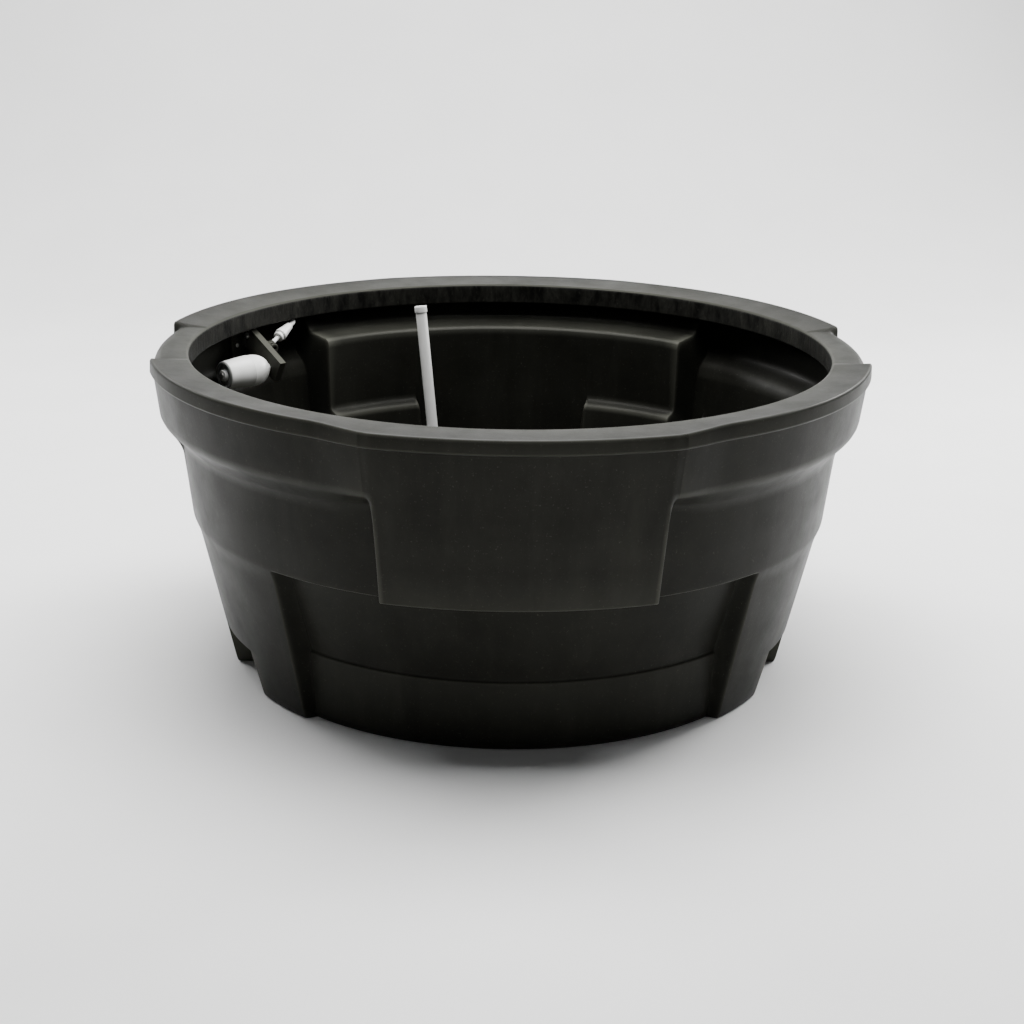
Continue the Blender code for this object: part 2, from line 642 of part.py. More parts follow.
def build_lever():
    """Channel with the web on top, a round boss at the pivot and a lug that works the plunger."""
    frame = lever_frame()
    half = LEVER_WIDTH / 2.0
    middle = LEVER_RISE - LEVER_HEIGHT / 2.0
    block = box_mesh("float_lever", (LEVER_LENGTH - LEVER_START, LEVER_WIDTH, LEVER_HEIGHT),
                     ((LEVER_LENGTH + LEVER_START) / 2.0, 0.0, middle))
    lever = link_mesh("float_lever", block, PARTS, BLACK_PLASTIC, frame)
    boss = cylinder_mesh("lever_boss", 0.0105, -half + 0.0001, half - 0.0001, 32)
    place = along_pin(frame, 0.0, 0.0, 0.0)
    boolean(lever, hide_cutter(link_mesh("lever_boss", boss, CUTTERS, None, place)), "UNION")
    inner = box_mesh("lever_channel",
                     (LEVER_LENGTH + 0.0200, LEVER_WIDTH - 2.0 * LEVER_SKIN, LEVER_HEIGHT),
                     (LEVER_LENGTH / 2.0 - LEVER_SKIN - 0.0100, 0.0, middle - LEVER_SKIN))
    boolean(lever, hide_cutter(link_mesh("lever_channel", inner, CUTTERS, None, frame)),
            "DIFFERENCE")
    lug_x = LUG_REACH * math.cos(LUG_ANGLE)
    lug_z = LUG_REACH * math.sin(LUG_ANGLE)
    lug = cylinder_mesh("lever_lug", LUG_RADIUS, -BODY_OFFSET - 0.006, -half + 0.0015, 20)
    boolean(lever, hide_cutter(link_mesh("lever_lug", lug, CUTTERS, None,
                                         along_pin(frame, lug_x, 0.0, lug_z))), "UNION")
    bore = cylinder_mesh("lever_pin_bore", PIN_RADIUS + RUNNING_FIT, -0.03, 0.03, 32)
    boolean(lever, hide_cutter(link_mesh("lever_pin_bore", bore, CUTTERS, None, place)),
            "DIFFERENCE")
    axle = cylinder_mesh("lever_axle_bore", AXLE_RADIUS + GAP, -0.03, 0.03, 24)
    place = along_pin(frame, FLOAT_ALONG, 0.0, -FLOAT_BELOW)
    boolean(lever, hide_cutter(link_mesh("lever_axle_bore", axle, CUTTERS, None, place)),
            "DIFFERENCE")


def build_float():
    """Barrel on an axle through the lever's free end, with a grey ring at its outer end."""
    frame = lever_frame()
    root = LEVER_WIDTH / 2.0 + GAP
    place = along_pin(frame, FLOAT_ALONG, root, -FLOAT_BELOW)
    tip = FLOAT_LENGTH
    barrel = [(0.0105, tip + 0.0040), (0.0115, tip + 0.0030), (0.0115, tip - 0.0050),
              (0.0272, tip - 0.0050), (0.0286, tip - 0.0062), (0.0308, 0.083), (0.0322, 0.065),
              (FLOAT_RADIUS, 0.048), (0.0317, 0.036), (0.0294, 0.026), (0.0253, 0.017),
              (0.0195, FLOAT_NECK + 0.0035), (0.0130, FLOAT_NECK), (0.0100, FLOAT_NECK),
              (0.0100, 0.0), (AXLE_RADIUS + GAP, 0.0),
              (AXLE_RADIUS + GAP, tip + 0.0040)]
    turned("float", barrel, PARTS, WHITE_PLASTIC, place, 32)
    turned("float_ring", [(0.0250, tip + 0.0010), (0.0269, tip - 0.0010), (0.0269, tip - 0.0047),
                          (0.0118, tip - 0.0047), (0.0118, tip - 0.0025),
                          (0.0200, tip - 0.0025), (0.0215, tip + 0.0010)],
           PARTS, GREY_PLASTIC, place, 32)
    end = tip + 0.0043
    turned("float_axle", [(0.0, end + 0.0040), (0.0055, end + 0.0040), (0.0070, end + 0.0028),
                          (0.0070, end), (AXLE_RADIUS, end),
                          (AXLE_RADIUS, -LEVER_WIDTH - 0.0070), (0.0, -LEVER_WIDTH - 0.0070)],
           PARTS, STEEL, place, 20)
    hexagon_ring("float_nut", 0.0130, AXLE_RADIUS + GAP, -LEVER_WIDTH - 0.0056,
                 -LEVER_WIDTH - 0.0006, PARTS, STEEL, place)


def build_valve_body():
    """Cylinder along the plunger with a boss for the inlet, open at the seat end."""
    frame = plunger_frame()
    inlet = inlet_frame()
    turn_profile = cylinder_mesh("valve_body", BODY_RADIUS, BODY_START, BODY_END, 32)
    body = link_mesh("valve_body", turn_profile, PARTS, BLACK_PLASTIC, frame)
    boss = cylinder_mesh("inlet_boss", 0.0078, 0.0030, 0.0150, 28)
    boolean(body, hide_cutter(link_mesh("inlet_boss", boss, CUTTERS, None, inlet)), "UNION")
    chamber = cylinder_mesh("valve_chamber", CHAMBER, BODY_START + 0.0050, BODY_END + 0.01, 32)
    boolean(body, hide_cutter(link_mesh("valve_chamber", chamber, CUTTERS, None, frame)),
            "DIFFERENCE")
    guide = cylinder_mesh("valve_guide", 0.0030 + RUNNING_FIT, 0.0, 0.030, 24)
    boolean(body, hide_cutter(link_mesh("valve_guide", guide, CUTTERS, None, frame)),
            "DIFFERENCE")
    port = cylinder_mesh("inlet_bore", 0.0044 + GAP, 0.0040, 0.0300, 24)
    boolean(body, hide_cutter(link_mesh("inlet_bore", port, CUTTERS, None, inlet)),
            "DIFFERENCE")
    shade(body)


def build_plunger():
    frame = plunger_frame()
    face = LUG_REACH * math.cos(LUG_ANGLE + -LEVER_DROP) + LUG_RADIUS + 0.0002
    turned("plunger", [(0.0, 0.0310), (0.0068, 0.0310), (0.0068, 0.0280), (0.0030, 0.0270),
                       (0.0030, face + 0.0025), (0.0066, face + 0.0025), (0.0070, face + 0.0020),
                       (0.0070, face), (0.0, face)],
           PARTS, BRASS, frame, 24)
    turned("plunger_seal", [(0.0, 0.0345), (0.0058, 0.0345), (0.0065, 0.0338), (0.0065, 0.0313),
                            (0.0, 0.0313)],
           PARTS, RUBBER, frame, 24)
    turned("seat_nozzle", [(0.0080, 0.0580), (0.0095, 0.0565), (0.0100, 0.0523),
                           (0.0072, 0.0523), (0.0072, 0.0450), (0.0052, 0.0430),
                           (0.0042, 0.0430), (0.0035, 0.0438), (0.0035, 0.0560),
                           (0.0045, 0.0580)],
           PARTS, BLACK_PLASTIC, frame, 28)


def build_inlet():
    """White nozzle and union from the valve body up to the rim, then the supply elbow."""
    frame = inlet_frame()
    turned("inlet_stem", [(0.0044, 0.0550), (0.0044, 0.0100), (0.0028, 0.0100),
                          (0.0028, 0.0550)],
           PARTS, WHITE_PLASTIC, frame, 24)
    turned("inlet_union", [(0.0066, 0.0890), (0.0078, 0.0878), (0.0130, 0.0500),
                           (0.0126, 0.0488), (0.0088, 0.0480), (0.0088, 0.0458),
                           (0.0108, 0.0450), (0.0108, 0.0402), (0.0096, 0.0390),
                           (0.0047, 0.0390), (0.0047, 0.0560), (0.0035, 0.0560),
                           (0.0035, 0.0690), (HOSE_RADIUS + 0.0002, 0.0690),
                           (HOSE_RADIUS + 0.0002, 0.0890)],
           PARTS, WHITE_PLASTIC, frame, 32)
    port = hose_frame()
    path = [frame @ Vector((0.0, 0.0, 0.0710)), frame @ Vector((0.0, 0.0, 0.1010))]
    corner = path[-1]
    inner = port @ Vector((0.0, 0.0, -0.0120))
    lead = corner + (corner - path[0]).normalized() * 0.0140
    for i in range(1, 6):
        t = i / 6.0
        path.append(corner * (1.0 - t) ** 2 + lead * 2.0 * t * (1.0 - t) + inner * t * t)
    path.append(inner)
    path.append(port @ Vector((0.0, 0.0, 0.0170)))
    shade(bent_tube("supply_elbow", path, HOSE_RADIUS, 0.0032, PARTS, WHITE_PLASTIC))
    turned("supply_grommet", [(0.0086, 0.0155), (0.0089, 0.0150), (0.0089, -0.0018),
                              (0.0118, -0.0020), (0.0118, -0.0042),
                              (HOSE_RADIUS + GAP, -0.0045), (HOSE_RADIUS + GAP, 0.0155)],
           PARTS, RUBBER, port, 28)


clear_scene()
PARTS = make_collection("cattle_trough")
CUTTERS = make_collection("cutters")
BLACK_PLASTIC = material("black_plastic", (0.055, 0.056, 0.050), 0.45)
WHITE_PLASTIC = material("white_plastic", (0.82, 0.82, 0.80), 0.35)
GREY_PLASTIC = material("grey_plastic", (0.30, 0.31, 0.30), 0.45)
RUBBER = material("rubber", (0.02, 0.02, 0.02), 0.75)
STEEL = material("steel", (0.62, 0.62, 0.60), 0.30, 1.0)
BRASS = material("brass", (0.70, 0.52, 0.22), 0.35, 1.0)
build_tub()
build_drain()
build_outlet()
build_standpipe()
build_bracket()
build_bracket_screws()
build_pivot_pin()
build_lever()
build_float()
build_valve_body()
build_plunger()
build_inlet()
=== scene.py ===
"""Looks for the round cattle trough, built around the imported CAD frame.

Metres, +Z up, +Y to the back. The tub is remade here as a fine moulding with rounded edges; the
fittings keep their CAD shapes where those are right and get softened edges and node materials.
"""

import json
import math

import bmesh
import bpy
from mathutils import Matrix, Vector


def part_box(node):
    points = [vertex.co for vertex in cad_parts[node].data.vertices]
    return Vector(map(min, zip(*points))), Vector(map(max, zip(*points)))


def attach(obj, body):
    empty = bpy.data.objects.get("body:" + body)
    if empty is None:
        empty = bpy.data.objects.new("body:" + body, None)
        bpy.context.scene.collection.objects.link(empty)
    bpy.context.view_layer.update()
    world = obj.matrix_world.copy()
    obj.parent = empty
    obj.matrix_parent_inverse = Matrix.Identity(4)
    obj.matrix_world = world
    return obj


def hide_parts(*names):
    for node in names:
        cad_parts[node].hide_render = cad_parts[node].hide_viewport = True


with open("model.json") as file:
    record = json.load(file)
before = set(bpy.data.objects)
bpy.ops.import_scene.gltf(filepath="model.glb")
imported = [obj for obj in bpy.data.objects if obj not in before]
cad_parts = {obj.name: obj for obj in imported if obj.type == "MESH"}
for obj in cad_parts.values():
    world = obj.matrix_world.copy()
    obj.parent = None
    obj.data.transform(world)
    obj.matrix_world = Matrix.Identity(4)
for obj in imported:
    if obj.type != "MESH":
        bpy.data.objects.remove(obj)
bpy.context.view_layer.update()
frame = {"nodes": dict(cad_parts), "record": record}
NODES = frame["nodes"]
COLLECTION = bpy.context.scene.collection

# ---- tub: driving dimensions, as in the CAD except where noted --------------------------------
HEIGHT = 0.600
RIM_RADIUS = 0.600
SKIN = 0.007
FLOOR_TOP = 0.100
FLOOR_UNDER = FLOOR_TOP - SKIN
LIP_DROP = 0.040
# azimuths in degrees from the front-back axis
APRON_EDGE = 21.4
BLOCK_EDGE = 19.4
FACET_END = 29.0
PANEL_EDGE = 42.6         # middle of the panel's side, which slopes from 41.3 to 43.5 in the CAD
RECESS_EDGE = 44.0
BLOCK_SIDE = 45.6
SIDE_EDGE = 77.0
TAPER_START = 50.0        # the sector's rim draws in from here to the side
SECTOR_TAPER = 0.004
APRON_BOW = 0.005         # how much larger the apron's radius is at its edges than in its middle
RIM_EDGE_RISE = 0.007
APRON_EDGE_RISE = 0.004
LIP_LOW = 0.581
BAND_LOW = 0.491
APRON_LOW = 0.303
RECESS_TOP = 0.298
BASE_BAND_TOP = 0.129
LEDGE_TOP = 0.524
BLOCK_TOP = 0.366
PLINTH_TOP = 0.322
HIDDEN_LEDGE = 0.270
APRON_RIM = 0.690
SECTOR_RIM = 0.677
SIDE_RIM = 0.665
APRON_FACE_LOW = 0.640
WALL_PROFILE = ((0.000, 0.529), (0.276, 0.592), (0.300, 0.602), (0.336, 0.6075), (0.452, 0.618))
CHANNEL_INNER = 0.105
CHANNEL_OUTER = 0.275
CHANNEL_HEIGHT = 0.090
CHANNEL_WALL = 0.006

INNER_STEPS = (BLOCK_EDGE, PANEL_EDGE, BLOCK_SIDE)
OUTER_STEPS = (APRON_EDGE, RECESS_EDGE, SIDE_EDGE)

# ---- fittings: driving dimensions, as in the CAD ----------------------------------------------
BODY_OF = {node: body for body, nodes in frame["record"]["behaviour"]["bodies"].items()
           for node in nodes}
SLOT_OF = {entry["node"]: entry["material_slot"] for entry in frame["record"]["subparts"]}
JOINTS = {joint["name"]: joint for joint in frame["record"]["behaviour"]["joints"]}
PIPE_LENGTH = 0.4821      # from the drain's mouth to the pipe's top
PIPE_RADIUS = 0.0115
PIPE_BORE = 0.0097
COLLAR_BORE = 0.0118
LEVER_HALF_WIDTH = 0.007
GAP = 0.0003              # air between neighbouring pieces
FLOAT_ALONG = 0.087
FLOAT_BELOW = 0.016
FLOAT_LENGTH = 0.108
INLET_START = (0.036, 0.020, -0.021)    # from the pivot, in the level lever's frame
INLET_FAR = (-0.437, 0.4295, 0.556)
# width of the rounded edges of the pieces that keep their CAD shape
ROUNDED_NODES = {"float_lever": 0.0011, "valve_bracket": 0.0010, "valve_body": 0.0006,
                 "seat_nozzle": 0.0003, "pivot_pin": 0.0004, "float_axle": 0.0004,
                 "float_nut": 0.0004, "bracket_screw_0": 0.0003, "bracket_screw_1": 0.0003,
                 "bracket_nut_0": 0.0003, "bracket_nut_1": 0.0003, "drain_cap": 0.0008,
                 "drain_nut": 0.0008, "supply_elbow": 0.0002}

SOFT_STEP = 0.75          # half-width in degrees of a rounded step between two zones
COLUMN_SPACING = 2.0      # degrees between the tub's plain columns
STEP_COLUMNS = 5          # columns to each side of a step's middle
FILLET_POINTS = 4
FILLET_SHARE = 0.45       # most of an edge that one fillet may take up

WELD_DISTANCE = 0.00002
BEVEL_ANGLE = 32.0        # edges sharper than this many degrees are rounded
FITTING_SHARP = 48.0      # and edges sharper than these stay sharp in the shading
TUB_SHARP = 50.0
TURNED_SHARP = 60.0
TURNED_SIDES = 80
FLOAT_SIDES = 112
UNION_SIDES = 64
STEM_SIDES = 40
PLASTIC_GRAIN = 420.0


# ---- tub section -------------------------------------------------------------------------------
def mix(start, end, share):
    return start + (end - start) * share


def ease(share):
    share = min(1.0, max(0.0, share))
    return share * share * (3.0 - 2.0 * share)


def wall_radius(height):
    for (z_low, r_low), (z_high, r_high) in zip(WALL_PROFILE, WALL_PROFILE[1:]):
        if height <= z_high:
            return mix(r_low, r_high, (height - z_low) / (z_high - z_low))
    return WALL_PROFILE[-1][1]


def rim_zone(azimuth):
    """Rim edge radius and height, and how much of the apron's facet is left."""
    if azimuth < APRON_EDGE:
        bow = APRON_BOW * (azimuth / APRON_EDGE) ** 2
        return APRON_RIM + bow, HEIGHT + APRON_EDGE_RISE, 1.0
    if azimuth < FACET_END:
        share = (azimuth - APRON_EDGE) / (FACET_END - APRON_EDGE)
        return (mix(APRON_RIM + APRON_BOW, SECTOR_RIM, share),
                HEIGHT + mix(APRON_EDGE_RISE, RIM_EDGE_RISE, share), 1.0 - share)
    if azimuth < SIDE_EDGE:
        share = max(0.0, (azimuth - TAPER_START) / (SIDE_EDGE - TAPER_START))
        return SECTOR_RIM - SECTOR_TAPER * share, HEIGHT + RIM_EDGE_RISE, 0.0
    return SIDE_RIM, HEIGHT, 0.0


def inner_step(azimuth):
    """Height of the step in the inner wall over the recess."""
    if azimuth < BLOCK_EDGE:
        return HIDDEN_LEDGE
    return BLOCK_TOP if azimuth < PANEL_EDGE else PLINTH_TOP


def inner_section(azimuth):
    """(radius, height, fillet) corners of the inner face, floor's edge to rim."""
    foot = wall_radius(FLOOR_TOP) - SKIN
    if azimuth < BLOCK_SIDE:
        step = inner_step(azimuth)
        face = [(0.484, FLOOR_TOP, 0.012), (0.500, FLOOR_TOP + 0.014, 0.012),
                (0.521, step - 0.010, 0.010)]
    else:
        face = [(foot - 0.018, FLOOR_TOP, 0.012), (foot, FLOOR_TOP + 0.014, 0.012),
                (wall_radius(0.340) - SKIN, 0.340, 0.010)]
    if azimuth < PANEL_EDGE:
        face += [(0.546, step, 0.010), (0.551, LEDGE_TOP - 0.018, 0.008),
                 (0.557, LEDGE_TOP - 0.008, 0.008), (0.611, LEDGE_TOP - 0.001, 0.008),
                 (0.619, LEDGE_TOP + 0.007, 0.006), (0.630, 0.552, 0.006)]
    else:
        low = PLINTH_TOP + 0.006 if azimuth < BLOCK_SIDE else BLOCK_TOP
        face += [(wall_radius(z) - SKIN, z, 0.010) for z in (low, 0.440)]
        face += [(0.621, 0.461, 0.010), (0.641, 0.476, 0.010), (0.649, 0.488, 0.010),
                 (0.652, 0.552, 0.006)]
    return face + [(0.652, HEIGHT - 0.016, 0.004), (RIM_RADIUS + 0.009, HEIGHT - 0.012, 0.004),
                   (RIM_RADIUS + 0.008, HEIGHT - LIP_DROP, 0.0025),
                   (RIM_RADIUS, HEIGHT - LIP_DROP, 0.0025)]


def rim_section(azimuth):
    edge, top, _ = rim_zone(azimuth)
    start = [(RIM_RADIUS, HEIGHT, 0.0065)]
    if azimuth > SIDE_EDGE:
        return start + [(edge - 0.022, HEIGHT + 0.001, 0.012), (edge - 0.007, HEIGHT - 0.005, 0.012),
                        (edge, HEIGHT - 0.020, 0.012), (edge - 0.001, LIP_LOW - 0.012, 0.004),
                        (edge - 0.003, LIP_LOW - 0.016, 0.004)]
    return start + [(edge - 0.012, top - 0.001, 0.006), (edge - 0.003, top + 0.0003, 0.0015),
                    (edge, top - 0.003, 0.0025), (edge + 0.001, LIP_LOW, 0.0025),
                    (edge - 0.005, LIP_LOW - 0.003, 0.002)]


def skirt_section(azimuth):
    edge, _, facet = rim_zone(azimuth)
    if azimuth < APRON_EDGE:
        bow = edge - APRON_RIM
        rise = LIP_LOW - 0.003 - APRON_LOW
        face = [(mix(APRON_FACE_LOW, APRON_RIM - 0.005, (z - APRON_LOW) / rise) + bow + crown,
                 z, 0.012) for z, crown in ((BAND_LOW, 0.0), (0.430, 0.0015), (0.380, 0.0))]
        face.append((APRON_FACE_LOW + bow, APRON_LOW, 0.005))
        face.append((APRON_FACE_LOW - 0.012 + bow, APRON_LOW - 0.0005, 0.003))
    else:
        under = 0.432 if azimuth > SIDE_EDGE else mix(0.452, 0.470, facet)
        band = mix(0.657, 0.674, facet)
        face = [(band, BAND_LOW, 0.012), (0.618, under, 0.014),
                (wall_radius(0.380), 0.380, 0.010), (wall_radius(APRON_LOW), APRON_LOW, 0.004),
                (wall_radius(RECESS_TOP), RECESS_TOP, 0.003)]
    if azimuth < RECESS_EDGE:
        lower = [(0.570, RECESS_TOP, 0.010), (0.519, BASE_BAND_TOP + 0.003, 0.003),
                 (0.523, BASE_BAND_TOP - 0.001, 0.0025), (0.512, 0.010, 0.004),
                 (0.509, 0.0, 0.004)]
    else:
        lower = [(wall_radius(RECESS_TOP - 0.022), RECESS_TOP - 0.022, 0.012)]
        lower += [(wall_radius(z), z, 0.006) for z in (BASE_BAND_TOP, 0.090, 0.010)]
        lower.append((wall_radius(0.0) - 0.001, 0.0, 0.005))
    inside = lower[-1][0] - SKIN
    return face + lower + [(inside, 0.0, 0.002), (inside + 0.008, FLOOR_UNDER, 0.003)]


def outer_section(azimuth):
    return rim_section(azimuth) + skirt_section(azimuth)


def eased(azimuth, steps, zone):
    """The zone's corners, with every step between two zones eased over a few millimetres."""
    for step in steps:
        if abs(azimuth - step) < SOFT_STEP:
            share = ease((azimuth - step + SOFT_STEP) / (2.0 * SOFT_STEP))
            pairs = zip(zone(step - SOFT_STEP), zone(step + SOFT_STEP))
            return [tuple(mix(a, b, share) for a, b in zip(one, two)) for one, two in pairs]
    return zone(azimuth)


def soft_corners(azimuth):
    return (eased(azimuth, INNER_STEPS, inner_section)
            + eased(azimuth, OUTER_STEPS, outer_section))


def rounded(points, closed=False):
    """The polyline with each corner replaced by a short curve of FILLET_POINTS points."""
    outline = []
    flat = [Vector(point[:2]) for point in points]
    for i, (radius, height, fillet) in enumerate(points):
        here = flat[i]
        if fillet == 0.0:
            outline.append(here)
            continue
        before = flat[i - 1] if i or closed else Vector((0.0, height))
        last = i + 1 == len(flat)
        after = flat[0] if last and closed else Vector((0.0, height)) if last else flat[i + 1]
        back = before - here
        ahead = after - here
        start = here + back.normalized() * min(fillet, back.length * FILLET_SHARE)
        end = here + ahead.normalized() * min(fillet, ahead.length * FILLET_SHARE)
        for k in range(FILLET_POINTS):
            t = k / (FILLET_POINTS - 1.0)
            outline.append(start * (1.0 - t) ** 2 + here * 2.0 * t * (1.0 - t) + end * t * t)
    return outline


def quadrant_columns():
    """Azimuths of one quarter's columns, close together at every step."""
    columns = []
    count = int(round(90.0 / COLUMN_SPACING))
    steps = INNER_STEPS + OUTER_STEPS
    for i in range(count + 1):
        azimuth = i * COLUMN_SPACING
        if all(abs(azimuth - step) > SOFT_STEP * 1.3 for step in steps):
            columns.append(azimuth)
    for step in steps:
        columns += [step + SOFT_STEP * k / STEP_COLUMNS
                    for k in range(-STEP_COLUMNS, STEP_COLUMNS + 1)]
    columns.sort()
    return [a for a, before in zip(columns, [-1.0] + columns) if a - before > 0.03]


def full_turn():
    """(angle from +X, azimuth from the front-back axis) pairs, counter-clockwise."""
    quarter = quadrant_columns()
    turn = []
    for start, mirrored in ((0.0, True), (90.0, False), (180.0, True), (270.0, False)):
        for azimuth in (reversed(quarter) if mirrored else quarter):
            angle = start + (90.0 - azimuth if mirrored else azimuth)
            if not turn or angle - turn[-1][0] > 0.01:
                turn.append((angle, azimuth))
    return turn if turn[-1][0] < 359.99 else turn[:-1]


# ---- mesh helpers --------------------------------------------------------------------------------
def new_piece(name, mesh, body, slot):
    piece = bpy.data.objects.new(name, mesh)
    COLLECTION.objects.link(piece)
    mesh.materials.clear()
    mesh.materials.append(FINISHES[slot])
    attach(piece, body)
    return piece


def mesh_from(shape, name):
    mesh = bpy.data.meshes.new(name)
    bmesh.ops.recalc_face_normals(shape, faces=shape.faces)
    shape.to_mesh(mesh)
    shape.free()
    mesh.shade_smooth()
    return mesh


def apply_modifiers(piece):
    """Bake the modifiers into the mesh."""
    graph = bpy.context.evaluated_depsgraph_get()
    baked = bpy.data.meshes.new_from_object(piece.evaluated_get(graph))
    piece.modifiers.clear()
    piece.data = baked


def box_cutter(name, low, high):
    shape = bmesh.new()
    bmesh.ops.create_cube(shape, size=1.0)
    size = Vector(high) - Vector(low)
    bmesh.ops.scale(shape, vec=size, verts=shape.verts)
    bmesh.ops.translate(shape, vec=(Vector(high) + Vector(low)) / 2.0, verts=shape.verts)
    cutter = bpy.data.objects.new(name, mesh_from(shape, name))
    COLLECTION.objects.link(cutter)
    return cutter


def cut(piece, cutter, operation="DIFFERENCE"):
    step = piece.modifiers.new(cutter.name, "BOOLEAN")
    step.operation = operation
    step.solver = "EXACT"
    step.object = cutter
    apply_modifiers(piece)
    bpy.data.objects.remove(cutter, do_unlink=True)


def soften(piece, width):
    """Weld the faceted solid, round its edges and shade it smooth between them."""
    weld = piece.modifiers.new("Weld", "WELD")
    weld.merge_threshold = WELD_DISTANCE
    bevel = piece.modifiers.new("Bevel", "BEVEL")
    bevel.width = width
    bevel.segments = 2
    bevel.limit_method = "ANGLE"
    bevel.angle_limit = math.radians(BEVEL_ANGLE)
    apply_modifiers(piece)
    piece.data.shade_smooth()
    piece.data.set_sharp_from_angle(angle=math.radians(FITTING_SHARP))
    piece.modifiers.new("Normals", "WEIGHTED_NORMAL").keep_sharp = True


def refined(node, width):
    """Put a copy of a CAD node with rounded edges and smooth shading in the node's place."""
    piece = new_piece(node + "_fine", NODES[node].data.copy(), BODY_OF[node], SLOT_OF[node])
    soften(piece, width)
    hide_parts(node)


def lathed(node, profile, place, sides=TURNED_SIDES):
    """Turn a node again from the closed (radius, height, fillet) outline of its wall."""
    shape = bmesh.new()
    turns = [2.0 * math.pi * k / sides for k in range(sides)]
    rings = [[shape.verts.new(place @ Vector((radius * math.cos(t), radius * math.sin(t), height)))
              for t in turns] for radius, height in rounded(profile, closed=True)]
    for here, after in zip(rings, rings[1:] + rings[:1]):
        for k in range(sides):
            shape.faces.new((here[k - 1], here[k], after[k], after[k - 1]))
    mesh = mesh_from(shape, node + "_fine")
    mesh.set_sharp_from_angle(angle=math.radians(TURNED_SHARP))
    piece = new_piece(node + "_fine", mesh, BODY_OF[node], SLOT_OF[node])
    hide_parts(node)


# ---- tub ---------------------------------------------------------------------------------------
def tub_mesh():
    shape = bmesh.new()
    rings = []
    for angle, azimuth in full_turn():
        turn = math.radians(angle)
        rings.append([shape.verts.new((p.x * math.cos(turn), p.x * math.sin(turn), p.y))
                      for p in rounded(soft_corners(azimuth))])
    top_pole = shape.verts.new((0.0, 0.0, FLOOR_TOP))
    low_pole = shape.verts.new((0.0, 0.0, FLOOR_UNDER))
    for here, after in zip(rings, rings[1:] + rings[:1]):
        shape.faces.new((top_pole, here[0], after[0]))
        for i in range(len(here) - 1):
            shape.faces.new((here[i], here[i + 1], after[i + 1], after[i]))
        shape.faces.new((low_pole, after[-1], here[-1]))
    return mesh_from(shape, "trough_tub")


def channel_linings(tub):
    """Straight walls that line the fork channels under the floor."""
    for sign in (-1.0, 1.0):
        for y_low in (CHANNEL_INNER - CHANNEL_WALL, CHANNEL_OUTER):
            y_near = sign * y_low
            y_far = sign * (y_low + CHANNEL_WALL)
            reach = math.sqrt((wall_radius(0.0) - SKIN / 2.0) ** 2 - (y_low + CHANNEL_WALL) ** 2)
            lining = box_cutter("channel_lining", (-reach, min(y_near, y_far), 0.0004),
                                (reach, max(y_near, y_far), FLOOR_UNDER + 0.002))
            cut(tub, lining, "UNION")


def build_tub():
    """The moulding with its fork channels; the lip's cut inner face has its own finish."""
    tub = new_piece("trough_tub", tub_mesh(), "tub", "black_plastic")
    channel_linings(tub)
    for sign in (-1.0, 1.0):
        edges = sorted((sign * CHANNEL_INNER, sign * CHANNEL_OUTER))
        cut(tub, box_cutter("channel", (-0.7, edges[0], -0.02), (0.7, edges[1], CHANNEL_HEIGHT)))
    tub.data.set_sharp_from_angle(angle=math.radians(TUB_SHARP))
    tub.data.materials.append(trimmed_edge())
    for face in tub.data.polygons:
        on_lip = face.center.z > HEIGHT - LIP_DROP - 0.001 and abs(face.normal.z) < 0.3
        if on_lip and face.center.xy.length < RIM_RADIUS + 0.002:
            face.material_index = 1
    tub.modifiers.new("Normals", "WEIGHTED_NORMAL").keep_sharp = True
    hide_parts("tub_shell")


# ---- fittings -----------------------------------------------------------------------------------
def frame_at(point, z_axis, x_hint):
    """Placement whose Z follows z_axis and whose X lies closest to x_hint."""
    z_dir = Vector(z_axis).normalized()
    y_dir = z_dir.cross(Vector(x_hint)).normalized()
    x_dir = y_dir.cross(z_dir)
    turn = Matrix((x_dir, y_dir, z_dir)).transposed().to_4x4()
    return Matrix.Translation(Vector(point)) @ turn


def drain_place():
    """Middle of the drain's mouth, level with the floor."""
    low, high = (Vector(corner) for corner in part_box("drain_body"))
    return Vector(((low.x + high.x) / 2.0, (low.y + high.y) / 2.0, FLOOR_TOP))


def level_place():
    """Origin on the pivot pin, X along the lever when it is level, Y back along the pin."""
    return frame_at(JOINTS["lever_hinge"]["pos_m"], (0.0, 0.0, 1.0),
                    JOINTS["plunger_slide"]["axis"])


def lever_place():
    """The same with X down along the hanging lever."""
    drop = math.radians(JOINTS["lever_hinge"]["range_deg"][1])
    return level_place() @ Matrix.Rotation(drop, 4, "Y")


